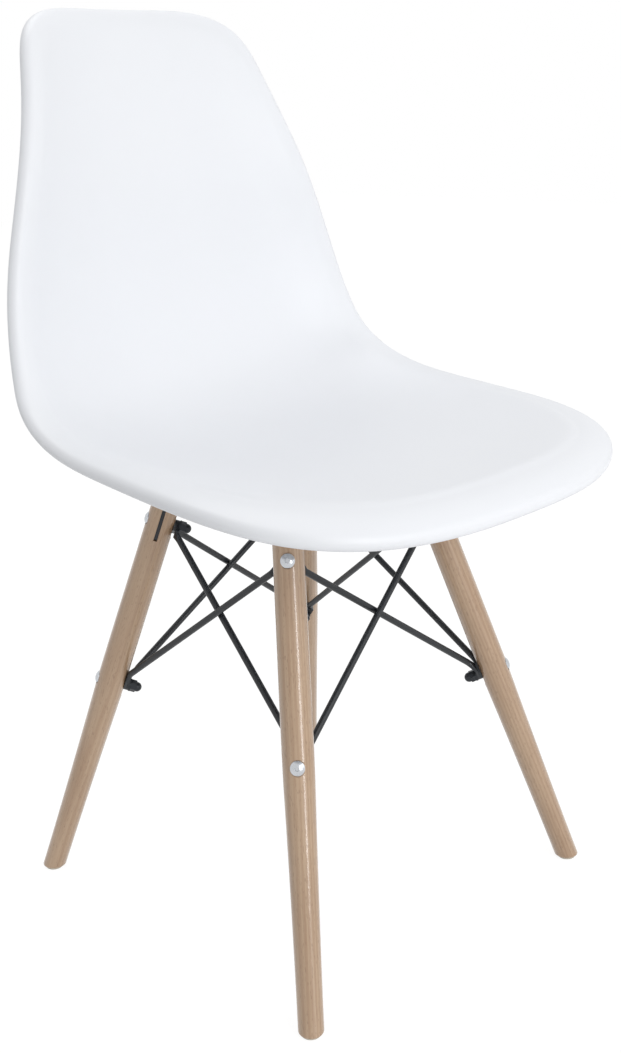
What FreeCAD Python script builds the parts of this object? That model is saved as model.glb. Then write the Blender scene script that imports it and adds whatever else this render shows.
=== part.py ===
import FreeCAD, Part
import math
import os

# Moulded plastic shell chair on four splayed beech legs with crossed steel rods.
# Millimetres. +Z up, the chair faces -Y, and the sitter's right hand is at -X.
# The origin is on the floor, under the middle of the chair's bounding box.

Vector = FreeCAD.Vector
UP = Vector(0, 0, 1)

# Shell: guide points (y, z) of the middle line, from the front edge to the top of the back
SPINE = [
    (-249, 439), (-193, 436), (-99, 428), (-3, 420), (93, 421),
    (173, 461), (201, 570), (200, 660), (214, 737), (240, 826),
]
# Half width across X, and how far the flanks rise from the middle line, at even steps along it
HALF_WIDTH = [196, 219, 222, 219, 206, 186, 144, 117]
FLANK_RISE = [4, 24, 39, 55, 50, 40, 26]
# Power of the rise across the width: a low power gives a round dish, a high one a flat floor
FLANK_POWER = [2.50, 2.54, 2.65, 2.38]
SHELL_WALL = 4.5
# Rounded ends of the outline, as shares of the middle line's length, and their roundness
FRONT_CORNER = 0.25
FRONT_SQUARENESS = 2.70
TOP_CORNER = 0.095
TOP_SQUARENESS = 3.80
# Edge roll: depth and width at the front, along the seat's sides and round the back
FRONT_ROLL = (13.2, 38.0)
SIDE_ROLL = (7.5, 23.0)
BACK_ROLL = (4.0, 16.0)
LIP_RADIUS = 6.0
# Middle panel of the shell, inside the edge band, in shares of the length and of the half width
PANEL_START = 0.17
PANEL_END = 0.86
PANEL_SHARE = 0.60

# Base: offsets of a leg's axis from the base's middle, across X and along Y, at top and floor
BASE_Y = 14.4
TOP_X = 86.4
TOP_Y = 78.7
FOOT_X = 178.3
FOOT_Y = 182.5
LEG_TOP_Z = 386.0
UPPER_BOLT_Z = 358.0
LOWER_BOLT_Z = 199.0
LEG_TOP_RADIUS = 13.3
LEG_BELLY_RADIUS = 13.7
LEG_FOOT_RADIUS = 10.7
LEG_FOOT_EDGE = 1.2
SLOT_WIDTH = 3.4
SLOT_LENGTH = 60.0
SLOT_DEPTH = 46.0

# Cross bars of flat steel under the seat
BAR_WIDTH = 22.0
BAR_THICKNESS = 3.0
BAR_Z = 390.0
TONGUE_END_Z = 344.0
BAR_BEND_RADIUS = 6.0
JOGGLE_FLAT = 15.0
JOGGLE_END = 27.0

# Fastening of the shell to the cross bars
MOUNT_RADIUS = 88.0
BOSS_RADIUS = 15.0
BOSS_RIB = 2.6
BOSS_RIB_REACH = 27.0
BOSS_RIB_START = 8.0
PAD_THICKNESS = 6.0
PAD_RADIUS = 15.0
INSERT_RADIUS = 4.6
INSERT_LENGTH = 12.0

# Metric fasteners
M6_RADIUS = 3.0
M6_HOLE_RADIUS = 3.3
DOME_HEAD_RADIUS = 6.2
DOME_HEAD_HEIGHT = 3.6
DOME_HEAD_EDGE = 1.0
BOLT_TIP_CHAMFER = 0.7
SOCKET_ACROSS = 4.0
SOCKET_DEPTH = 2.2
WASHER_RADIUS = 6.0
WASHER_THICKNESS = 1.4
NUT_ACROSS = 10.0
NUT_HEIGHT = 5.0
NUT_CORNER_CUT = 0.4
BOLT_PROUD = 2.0
CAP_HEIGHT = 10.5
CAP_DOME_RADIUS = 4.6
CAP_HOLE_DEPTH = 8.0
CAP_BOLT_GAP = 0.5
OUTER_SEAT_DEPTH = 1.4
INNER_SEAT_DEPTH = 0.6
OUTER_SEAT_RADIUS = 7.0
INNER_SEAT_RADIUS = 13.5

# Cross rods
ROD_RADIUS = 3.0
TAB_THICKNESS = 2.4
TAB_RADIUS = 5.5
TAB_REACH = 10.0
NECK_LENGTH = 8.5
# Weight of the rod's direction against the tab's in the neck between them
NECK_TURN = 1.3
# The two rods of a side part at their crossing: one lies outward, the other inward
OUTER_ROD_SHIFT = 1.2
INNER_ROD_SHIFT = 3.3

# Glides under the feet
GLIDE_HEIGHT = 2.5
GLIDE_RADIUS = 8.5
NAIL_RADIUS = 1.1
NAIL_LENGTH = 15.0
NAIL_HEAD_RADIUS = 3.6
NAIL_HEAD_HEIGHT = 1.0
GLIDE_EDGE = 0.8

# Steps for slopes taken between two near points, and the slack in tests for flat edges
SLOPE_STEP = 0.001
NORMAL_STEP = 0.002
RIM_STEP = 0.01
FLAT_ALLOWANCE = 0.01
# Slack for the volumes of identical pieces
VOLUME_ALLOWANCE = 1.0

CORNERS = {
    "front_right": (-1, -1),
    "front_left": (1, -1),
    "rear_right": (-1, 1),
    "rear_left": (1, 1),
}


def save(name, shape, solids=1):
    """Write one sub-part as a STEP file, and stop where a cut or a joint has failed."""
    volumes = [solid.Volume for solid in shape.Solids]
    alike = max(volumes) - min(volumes) < VOLUME_ALLOWANCE
    if len(volumes) != solids or not alike or not shape.isValid():
        raise RuntimeError(name + " is broken: " + str(volumes))
    shape.exportStep("parts/" + name + ".step")
    print(name, len(volumes), "solids", round(shape.Volume / 1000, 2), "cm3")


# Shell formula

def spline(values, x):
    """Smooth curve through the run of values, with x from 0 to 1."""
    run = [2 * values[0] - values[1]] + list(values) + [2 * values[-1] - values[-2]]
    spans = len(values) - 1
    place = min(max(x, 0.0), 1.0) * spans
    first = min(int(place), spans - 1)
    f = place - first
    weights = (
        (1 - f) ** 3,
        3 * f ** 3 - 6 * f ** 2 + 4,
        -3 * f ** 3 + 3 * f ** 2 + 3 * f + 1,
        f ** 3,
    )
    return sum(w * run[first + i] for i, w in enumerate(weights)) / 6


def spine_point(x):
    """Y and Z of the middle line."""
    return spline([p[0] for p in SPINE], x), spline([p[1] for p in SPINE], x)


def half_width(x):
    return spline(HALF_WIDTH, x)


def mid_point(x, t):
    """Point of the wall's middle surface at share x of the length, t mm off the centre plane."""
    y0, z0 = spine_point(max(x - SLOPE_STEP, 0))
    y1, z1 = spine_point(min(x + SLOPE_STEP, 1))
    length = math.hypot(y1 - y0, z1 - z0)
    y, z = spine_point(x)
    rise = spline(FLANK_RISE, x) * abs(t / half_width(x)) ** spline(FLANK_POWER, x)
    return Vector(t, y - rise * (z1 - z0) / length, z + rise * (y1 - y0) / length)


def wall_normal(x, t):
    """Unit normal on the sitter's side of the wall."""
    after = mid_point(min(x + NORMAL_STEP, 1), t)
    along = after - mid_point(max(x - NORMAL_STEP, 0), t)
    across = mid_point(x, t + 1) - mid_point(x, t - 1)
    return across.cross(along).normalize()


def round_share(away, corner, power):
    """Share of the half width that is left at a distance from a rounded end."""
    lack = min(max((corner - away) / corner, 0.0), 1.0)
    return (1 - lack ** power) ** (1 / power)


def end_outline(g, corner, power, at_top):
    """Rim place (x, t) across the front or the top, with g from -1 to 1 between the corners."""
    reach = abs(g) * 0.5 ** (1 / power)
    away = corner * (1 - (1 - reach ** power) ** (1 / power))
    x = 1 - away if at_top else away
    return x, math.copysign(half_width(x) * reach, g)


def side_outline(g):
    """Rim place (x, t) along one side, with g from -1 at the front corner to 1 at the top one."""
    start = FRONT_CORNER * (1 - 0.5 ** (1 / FRONT_SQUARENESS))
    end = 1 - TOP_CORNER * (1 - 0.5 ** (1 / TOP_SQUARENESS))
    x = start + (end - start) * (g + 1) / 2
    front = round_share(x, FRONT_CORNER, FRONT_SQUARENESS)
    top = round_share(1 - x, TOP_CORNER, TOP_SQUARENESS)
    return x, half_width(x) * front * top


def rim_place(side, g):
    if side == "front":
        return end_outline(g, FRONT_CORNER, FRONT_SQUARENESS, False)
    if side == "top":
        return end_outline(g, TOP_CORNER, TOP_SQUARENESS, True)
    x, t = side_outline(g)
    return (x, t) if side == "left" else (x, -t)


def panel_place(side, g):
    """Place (x, t) on the middle panel's border that faces the rim place."""
    if side == "front":
        return PANEL_START, g * PANEL_SHARE * half_width(PANEL_START)
    if side == "top":
        return PANEL_END, g * PANEL_SHARE * half_width(PANEL_END)
    x = PANEL_START + (PANEL_END - PANEL_START) * (g + 1) / 2
    t = PANEL_SHARE * half_width(x)
    return (x, t) if side == "left" else (x, -t)


def ease(value, start, end):
    f = min(max((value - start) / (end - start), 0.0), 1.0)
    return f * f * (3 - 2 * f)


def roll_size(x):
    """Depth and width of the edge roll at share x of the length."""
    to_side = ease(x, 0.10, 0.35)
    to_back = ease(x, 0.40, 0.65)
    sizes = []
    for front, side, back in zip(FRONT_ROLL, SIDE_ROLL, BACK_ROLL):
        sizes.append(front + (side - front) * to_side + (back - side) * to_back)
    return sizes


def band_point(side, g, h):
    """Middle-surface point and normal in the edge band, with h from 0 at the panel to 1 at the rim."""
    x_in, t_in = panel_place(side, g)
    x_out, t_out = rim_place(side, g)
    x = x_in + (x_out - x_in) * h
    t = t_in + (t_out - t_in) * h
    point = mid_point(x, t)
    normal = wall_normal(x, t)
    depth, width = roll_size(x_out)
    to_rim = (1 - h) * (mid_point(x_out, t_out) - mid_point(x_in, t_in)).Length
    return point - normal * depth * max(0.0, 1 - to_rim / width) ** 2, normal


BAND_STEPS = [0, 0.10, 0.30, 0.50, 0.66, 0.76, 0.84, 0.91, 0.96, 1]


def band_section(side, g):
    """Poles from the panel's upper face over the rolled rim and back under it."""
    half_wall = SHELL_WALL / 2
    places = [band_point(side, g, h) for h in BAND_STEPS]
    rim, normal = places[-1]
    outward = rim - band_point(side, g, 1 - 2 * RIM_STEP)[0]
    along = band_point(side, g + RIM_STEP, 1)[0] - band_point(side, g - RIM_STEP, 1)[0]
    along.normalize()
    outward = (outward - along * outward.dot(along)).normalize()
    face = outward.cross(along).normalize()
    if face.dot(normal) < 0:
        face = face * -1
    centre = rim - face * LIP_RADIUS

    def lip(radius, degrees):
        angle = math.radians(degrees)
        return centre + (outward * math.sin(angle) + face * math.cos(angle)) * radius

    upper = [p + n * half_wall for p, n in places]
    lower = [p - n * half_wall for p, n in reversed(places)]
    turn = (25, 50, 75)
    outside = [lip(LIP_RADIUS + half_wall, a) for a in turn]
    inside = [lip(LIP_RADIUS - half_wall, a) for a in reversed(turn)]
    edge = [lip(LIP_RADIUS + half_wall * s, 95) for s in (0.9, 0, -0.9)]
    return upper + outside + edge + inside + lower


def pole_steps(spans):
    """Places of a clamped cubic's poles, from -1 to 1."""
    steps = [0, 1 / 3] + list(range(1, spans)) + [spans - 1 / 3, spans]
    return [2 * s / spans - 1 for s in steps]


def spline_face(poles):
    """Clamped cubic surface over a grid of poles."""
    counts = (len(poles), len(poles[0]))
    knots = [list(range(n - 2)) for n in counts]
    mults = [[4] + [1] * (n - 4) + [4] for n in counts]
    surface = Part.BSplineSurface()
    surface.buildFromPolesMultsKnots(
        poles, mults[0], mults[1], knots[0], knots[1], False, False, 3, 3
    )
    return surface.toShape()


ACROSS_SPANS = 12
ALONG_SPANS = 24


def panel_face(offset):
    """Middle panel of the shell, offset from the wall's middle surface."""
    poles = []
    for u in pole_steps(ALONG_SPANS):
        x = PANEL_START + (PANEL_END - PANEL_START) * (u + 1) / 2
        reach = PANEL_SHARE * half_width(x)
        row = []
        for g in pole_steps(ACROSS_SPANS):
            row.append(mid_point(x, g * reach) + wall_normal(x, g * reach) * offset)
        poles.append(row)
    return spline_face(poles)


def shell_wall():
    """Closed solid of the thin wall, with its rolled edge all round."""
    bands = {}
    for side in ("front", "top"):
        bands[side] = [band_section(side, g) for g in pole_steps(ACROSS_SPANS)]
    for side, end in (("right", 0), ("left", -1)):
        inner = [band_section(side, g) for g in pole_steps(ALONG_SPANS)[1:-1]]
        bands[side] = [bands["front"][end]] + inner + [bands["top"][end]]
    faces = [spline_face(poles) for poles in bands.values()]
    faces += [panel_face(SHELL_WALL / 2), panel_face(-SHELL_WALL / 2)]
    skin = Part.Shell(faces)
    skin.sewShape()
    solid = Part.Solid(skin)
    if solid.Volume < 0:
        solid.reverse()
    return solid


# Directions of the base

SLOPE_X = (FOOT_X - TOP_X) / LEG_TOP_Z
SLOPE_Y = (FOOT_Y - TOP_Y) / LEG_TOP_Z


def bar_way(corner):
    """Level unit direction of the cross bar, from the base's middle to a corner."""
    sx, sy = CORNERS[corner]
    return Vector(sx * TOP_X, sy * TOP_Y, 0).normalize()


def bar_radius_at(z):
    """Distance along the bar's direction from the base's middle to a leg's axis."""
    x = FOOT_X - SLOPE_X * z
    y = FOOT_Y - SLOPE_Y * z
    return (x * TOP_X + y * TOP_Y) / math.hypot(TOP_X, TOP_Y)


BAR_SLOPE = bar_radius_at(0) - bar_radius_at(1)


def mount_points():
    return [Vector(0, BASE_Y, 0) + bar_way(corner) * MOUNT_RADIUS for corner in CORNERS]


# Bosses under the seat

BAR_TOP_Z = BAR_Z + BAR_THICKNESS / 2
BAR_BOTTOM_Z = BAR_Z - BAR_THICKNESS / 2
BOSS_BOTTOM_Z = BAR_TOP_Z + PAD_THICKNESS
BOSS_BLANK_HEIGHT = 60.0
BELOW_WALL = 150.0


def shell_bosses():
    """Four ribbed bosses under the seat, trimmed to end inside the wall."""
    below_wall = panel_face(0).extrude(UP * -BELOW_WALL)
    bosses = []
    for place in mount_points():
        base = place + UP * BOSS_BOTTOM_Z
        blank = Part.makeCylinder(BOSS_RADIUS, BOSS_BLANK_HEIGHT, base)
        for angle in (0, 90):
            rib = Part.makeBox(2 * BOSS_RIB_REACH, BOSS_RIB, BOSS_BLANK_HEIGHT)
            rib.translate(Vector(-BOSS_RIB_REACH, -BOSS_RIB / 2, BOSS_BOTTOM_Z + BOSS_RIB_START))
            rib.rotate(Vector(0, 0, 0), UP, angle)
            rib.translate(place)
            blank = blank.fuse(rib)
        bosses.append(blank.common(below_wall))
    return bosses


def seat_shell():
    shell = shell_wall()
    for boss in shell_bosses():
        shell = shell.fuse(boss)
    for place in mount_points():
        base = place + UP * (BOSS_BOTTOM_Z - 1)
        shell = shell.cut(Part.makeCylinder(INSERT_RADIUS, INSERT_LENGTH + 1, base))
    return shell


# Fasteners, each made on the origin along +Z from its bearing face and then placed

def placed(shape, base, direction):
    """Copy of a fastener, standing on a point along a direction."""
    copy = shape.copy()
    copy.Placement = FreeCAD.Placement(base, FreeCAD.Rotation(UP, direction))
    return copy


def turned(points, dome=None):
    """Solid turned about the Z axis from outline points (radius, z), with a dome over its end."""
    outline = [Vector(r, 0, z) for r, z in points]
    edges = [Part.makeLine(a, b) for a, b in zip(outline, outline[1:])]
    if dome:
        edges.append(Part.Arc(outline[-1], Vector(dome[0], 0, dome[1]), Vector(0, 0, dome[2])).toShape())
        edges.append(Part.makeLine(Vector(0, 0, dome[2]), outline[0]))
    else:
        edges.append(Part.makeLine(outline[-1], outline[0]))
    return Part.Face(Part.Wire(edges)).revolve(Vector(0, 0, 0), UP, 360)


def dome_middle(radius, base_z, top_z):
    """Middle point of the arc of a dome, and its top, for turned()."""
    rise = top_z - base_z
    ball = (radius ** 2 + rise ** 2) / (2 * rise)
    angle = math.atan2(radius, ball - rise) / 2
    return ball * math.sin(angle), top_z - ball * (1 - math.cos(angle)), top_z


def hex_prism(across, height):
    corners = []
    for i in range(7):
        angle = math.radians(60 * i)
        corners.append(Vector(math.cos(angle), math.sin(angle), 0) * (across / math.sqrt(3)))
    return Part.Face(Part.makePolygon(corners)).extrude(UP * height)


def dome_bolt(length):
    """Low domed head with a hexagon socket, and a plain shank behind its seat."""
    points = [
        (0, -length),
        (M6_RADIUS - BOLT_TIP_CHAMFER, -length),
        (M6_RADIUS, BOLT_TIP_CHAMFER - length),
        (M6_RADIUS, 0),
        (DOME_HEAD_RADIUS, 0),
        (DOME_HEAD_RADIUS, DOME_HEAD_EDGE),
    ]
    bolt = turned(points, dome_middle(DOME_HEAD_RADIUS, DOME_HEAD_EDGE, DOME_HEAD_HEIGHT))
    socket = hex_prism(SOCKET_ACROSS, DOME_HEAD_HEIGHT)
    socket.translate(UP * (DOME_HEAD_HEIGHT - SOCKET_DEPTH))
    return bolt.cut(socket)


def ring(inner, outer, thickness):
    outside = Part.makeCylinder(outer, thickness)
    return outside.cut(Part.makeCylinder(inner, thickness))


def hex_blank():
    """Hexagon with its corners rounded off by a cone on the free end."""
    corner = NUT_ACROSS / math.sqrt(3)
    cone = Part.makeCone(corner + NUT_HEIGHT, corner - NUT_CORNER_CUT, NUT_HEIGHT)
    return hex_prism(NUT_ACROSS, NUT_HEIGHT).common(cone)


def hex_nut():
    return hex_blank().cut(Part.makeCylinder(M6_RADIUS, NUT_HEIGHT))


def cap_nut():
    """Hexagon nut closed by a dome over a blind hole."""
    points = [(0, 0), (CAP_DOME_RADIUS, 0), (CAP_DOME_RADIUS, CAP_HEIGHT - CAP_DOME_RADIUS)]
    middle = dome_middle(CAP_DOME_RADIUS, CAP_HEIGHT - CAP_DOME_RADIUS, CAP_HEIGHT)
    blank = hex_blank().fuse(turned(points, middle))
    return blank.cut(Part.makeCylinder(M6_RADIUS, CAP_HOLE_DEPTH))


# Legs

def lean(corner):
    """Unit directions down a leg's axis, down the bar's tongue in it, and out along its bolts."""
    sx, sy = CORNERS[corner]
    way = bar_way(corner)
    down = Vector(sx * SLOPE_X, sy * SLOPE_Y, -1).normalize()
    tongue = (way * BAR_SLOPE - UP).normalize()
    out = (way + UP * BAR_SLOPE).normalize()
    return down, tongue, out


def axis_point(corner, z):
    sx, sy = CORNERS[corner]
    return Vector(sx * (FOOT_X - SLOPE_X * z), BASE_Y + sy * (FOOT_Y - SLOPE_Y * z), z)


LEAN_SECANT = math.sqrt(1 + SLOPE_X ** 2 + SLOPE_Y ** 2)
END_ALLOWANCE = 12.0
OUTLINE_STATIONS = 12
ROOM_REACH = 500.0
# Lengths of the drills and seat cutters, long enough to pass right through
LEG_DRILL = 80.0
BAR_DRILL = 40.0
TAB_DRILL = 20.0
SEAT_CUTTER = 10.0


def leg_radius(z):
    """Leg radius at a height: full round the lower bolt, thinner at the top and at the foot."""
    if z > LOWER_BOLT_Z:
        f = (z - LOWER_BOLT_Z) / (LEG_TOP_Z - LOWER_BOLT_Z)
        return LEG_BELLY_RADIUS + (LEG_TOP_RADIUS - LEG_BELLY_RADIUS) * f ** 2
    return LEG_FOOT_RADIUS + (LEG_BELLY_RADIUS - LEG_FOOT_RADIUS) * (z / LOWER_BOLT_Z) ** 1.5


def leg_blank(corner):
    """Turned leg along its axis, cut level at the top and at the foot."""
    down, _, _ = lean(corner)
    start = axis_point(corner, LEG_TOP_Z + END_ALLOWANCE)
    height = LEG_TOP_Z + 2 * END_ALLOWANCE
    total = height * LEAN_SECANT
    points = []
    for i in range(OUTLINE_STATIONS + 1):
        share = i / OUTLINE_STATIONS
        z = LEG_TOP_Z + END_ALLOWANCE - share * height
        points.append(Vector(leg_radius(min(max(z, 0), LEG_TOP_Z)), 0, share * total))
    curve = Part.BSplineCurve()
    curve.interpolate(points)
    outline = [
        curve.toShape(),
        Part.makeLine(points[-1], Vector(0, 0, total)),
        Part.makeLine(Vector(0, 0, total), Vector(0, 0, 0)),
        Part.makeLine(Vector(0, 0, 0), points[0]),
    ]
    blank = Part.Face(Part.Wire(outline)).revolve(Vector(0, 0, 0), UP, 360)
    blank = Part.Solid(blank.Shells[0])
    if blank.Volume < 0:
        blank.reverse()
    blank.Placement = FreeCAD.Placement(start, FreeCAD.Rotation(UP, down))
    room = Part.makeBox(2 * ROOM_REACH, 2 * ROOM_REACH, LEG_TOP_Z - GLIDE_HEIGHT)
    room.translate(Vector(-ROOM_REACH, -ROOM_REACH, GLIDE_HEIGHT))
    return blank.common(room)


def soften_foot(leg):
    """Round the edge of the foot a little."""
    foot_edges = [e for e in leg.Edges if e.BoundBox.ZMax < GLIDE_HEIGHT + FLAT_ALLOWANCE]
    return leg.makeFillet(LEG_FOOT_EDGE, foot_edges)


def seat_planes(z):
    """Distance from a leg's axis to the bolt head's seat outside and the rod tab's seat inside."""
    return leg_radius(z) - OUTER_SEAT_DEPTH, leg_radius(z) - INNER_SEAT_DEPTH


def tool_box(size, centre, x_dir, z_dir):
    """Box with its centre at a point, its length along x_dir and its height along z_dir."""
    length, width, height = size
    box = Part.makeBox(length, width, height)
    box.translate(Vector(-length / 2, -width / 2, -height / 2))
    y_dir = z_dir.cross(x_dir)
    turn = FreeCAD.Rotation(x_dir, y_dir, z_dir, "ZXY")
    box.Placement = FreeCAD.Placement(centre, turn).multiply(box.Placement)
    return box


def leg(corner):
    _, tongue, out = lean(corner)
    wood = soften_foot(leg_blank(corner))
    top = axis_point(corner, LEG_TOP_Z)
    slot_centre = top + tongue * (SLOT_DEPTH - END_ALLOWANCE) / 2
    slot_size = (SLOT_WIDTH, SLOT_LENGTH, SLOT_DEPTH + END_ALLOWANCE)
    wood = wood.cut(tool_box(slot_size, slot_centre, out, tongue))
    for z in (UPPER_BOLT_Z, LOWER_BOLT_Z):
        centre = axis_point(corner, z)
        outside, inside = seat_planes(z)
        drill = Part.makeCylinder(M6_HOLE_RADIUS, LEG_DRILL, centre - out * LEG_DRILL / 2, out)
        outer_seat = Part.makeCylinder(OUTER_SEAT_RADIUS, SEAT_CUTTER, centre + out * outside, out)
        inner_seat = Part.makeCylinder(INNER_SEAT_RADIUS, SEAT_CUTTER, centre - out * inside,
                                       out * -1)
        wood = wood.cut(drill).cut(outer_seat).cut(inner_seat)
    foot = axis_point(corner, GLIDE_HEIGHT)
    depth = NAIL_LENGTH - NAIL_HEAD_HEIGHT
    return wood.cut(Part.makeCylinder(NAIL_RADIUS, depth, foot, UP))


# Cross bars

def strip(points, corner):
    """Flat bar bent along points (radius, z) in the upright plane through one corner's leg."""
    half = BAR_THICKNESS / 2
    sides = []
    for sign in (1, -1):
        edge = []
        for i, (r, z) in enumerate(points):
            before = points[max(i - 1, 0)]
            after = points[min(i + 1, len(points) - 1)]
            first = Vector(r - before[0], 0, z - before[1])
            second = Vector(after[0] - r, 0, after[1] - z)
            first = first.normalize() if first.Length else second.normalize()
            second = second.normalize() if second.Length else first
            middle = (first + second).normalize()
            normal = Vector(-middle.z, 0, middle.x)
            stretch = half / middle.dot(first)
            edge.append(Vector(r, 0, z) + normal * stretch * sign)
        sides.append(edge)
    loop = sides[0] + sides[1][::-1]
    face = Part.Face(Part.makePolygon(loop + [loop[0]]))
    bar = face.extrude(Vector(0, BAR_WIDTH, 0))
    bar.translate(Vector(0, -BAR_WIDTH / 2, 0))
    way = bar_way(corner)
    bar.rotate(Vector(0, 0, 0), UP, math.degrees(math.atan2(way.y, way.x)))
    bar.translate(Vector(0, BASE_Y, 0))
    return bar


def round_bends(bar, corner):
    """Round the two bends over the legs, wider outside than inside."""
    centre = Vector(0, BASE_Y, BAR_Z)
    bend = bar_radius_at(BAR_Z)
    for low, radius in ((False, BAR_BEND_RADIUS), (True, BAR_BEND_RADIUS - BAR_THICKNESS)):
        chosen = []
        for edge in bar.Edges:
            middle = edge.CenterOfMass - centre
            flat = math.hypot(middle.x, middle.y)
            crosswise = abs(edge.Length - BAR_WIDTH) < FLAT_ALLOWANCE
            is_bend = crosswise and abs(flat - bend) < BAR_THICKNESS + 1
            if is_bend and (middle.z < 0) == low:
                chosen.append(edge)
        bar = bar.makeFillet(radius, chosen)
    return bar


def crossbar(corner, opposite, raised):
    end = bar_radius_at(TONGUE_END_Z)
    bend = bar_radius_at(BAR_Z)
    half_path = [(end, TONGUE_END_Z), (bend, BAR_Z)]
    if raised:
        lift = BAR_Z + BAR_THICKNESS
        half_path += [(JOGGLE_END, BAR_Z), (JOGGLE_FLAT, lift)]
    path = half_path + [(-r, z) for r, z in reversed(half_path)]
    bar = round_bends(strip(path, corner), corner)
    centre = Vector(0, BASE_Y, BAR_Z)
    drills = [(centre, UP)]
    for name in (corner, opposite):
        drills.append((centre + bar_way(name) * MOUNT_RADIUS, UP))
        drills.append((axis_point(name, UPPER_BOLT_Z), lean(name)[-1]))
    for place, direction in drills:
        base = place - direction * BAR_DRILL / 2
        bar = bar.cut(Part.makeCylinder(M6_HOLE_RADIUS, BAR_DRILL, base, direction))
    return bar


# Cross rods

def tab_plane(corner, z, layer):
    """Middle of a rod's tab on a bolt: layer 0 lies on the wood and layer 1 on the first tab."""
    out = lean(corner)[-1]
    inside = seat_planes(z)[1] + (layer + 0.5) * TAB_THICKNESS
    return axis_point(corner, z) - out * inside, out


def rod_frame(corner, z, layer, aim, shift):
    """Tab centre, tab normal, direction along the tab, and the point where the round rod begins."""
    centre, out = tab_plane(corner, z, layer)
    toward = aim + shift - centre
    flat = (toward - out * toward.dot(out)).normalize()
    run = (toward - flat * TAB_REACH).normalize()
    neck = (flat + run * NECK_TURN).normalize()
    return centre, out, flat, centre + flat * TAB_REACH + neck * NECK_LENGTH + shift


def section(middle, wide, high, points):
    """Closed wire of four edges around middle, from points given as (wide, high)."""
    corners = [middle + wide * x + high * z for x, z in points]
    if len(corners) == 4:
        return Part.makePolygon(corners + corners[:1])
    arcs = []
    for first in range(0, 8, 2):
        ends = corners[first], corners[first + 1], corners[(first + 2) % 8]
        arcs.append(Part.Arc(*ends).toShape())
    return Part.Wire(arcs)


def rod_end(frame, direction):
    """Flat drilled tab, and the neck that turns it into the round rod."""
    centre, out, flat, rod_start = frame
    across = out.cross(flat)
    tab = Part.makeCylinder(TAB_RADIUS, TAB_THICKNESS, centre - out * (TAB_THICKNESS / 2), out)
    plate_size = (TAB_REACH, 2 * TAB_RADIUS, TAB_THICKNESS)
    plate = tool_box(plate_size, centre + flat * (TAB_REACH / 2), flat, out)
    level = (out - direction * out.dot(direction)).normalize()
    width = level.cross(direction)
    if width.dot(across) < 0:
        width = width * -1
    wide, high = TAB_RADIUS, TAB_THICKNESS / 2
    press = section(
        centre + flat * TAB_REACH, across, out, [(wide, high), (-wide, high), (-wide, -high), (wide, -high)]
    )
    turns = [math.pi / 4 * (step + 1) for step in range(8)]
    ring_points = [(ROD_RADIUS * math.cos(turn), ROD_RADIUS * math.sin(turn)) for turn in turns]
    circle = section(rod_start, width, level, ring_points)
    neck = Part.makeLoft([press, circle], True)
    hole = Part.makeCylinder(M6_HOLE_RADIUS, TAB_DRILL, centre - out * TAB_DRILL / 2, out)
    return tab.fuse(plate).fuse(neck).cut(hole)


def rod(upper_corner, lower_corner, layer, shift):
    """Rod from one leg's upper bolt to its neighbour's lower bolt."""
    top, _ = tab_plane(upper_corner, UPPER_BOLT_Z, layer)
    bottom, _ = tab_plane(lower_corner, LOWER_BOLT_Z, layer)
    upper = rod_frame(upper_corner, UPPER_BOLT_Z, layer, bottom, shift)
    lower = rod_frame(lower_corner, LOWER_BOLT_Z, layer, top, shift)
    run = lower[-1] - upper[-1]
    direction = run * (1 / run.Length)
    shape = Part.makeCylinder(ROD_RADIUS, run.Length, upper[-1], direction)
    return shape.fuse(rod_end(upper, direction)).fuse(rod_end(lower, direction * -1))


# The legs whose upper bolt holds the outer and the inner rod of each side, and the way outward
SIDES = {
    "front": ("front_left", "front_right", Vector(0, -1, 0)),
    "rear": ("rear_right", "rear_left", Vector(0, 1, 0)),
    "right": ("front_right", "rear_right", Vector(-1, 0, 0)),
    "left": ("rear_left", "front_left", Vector(1, 0, 0)),
}


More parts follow.
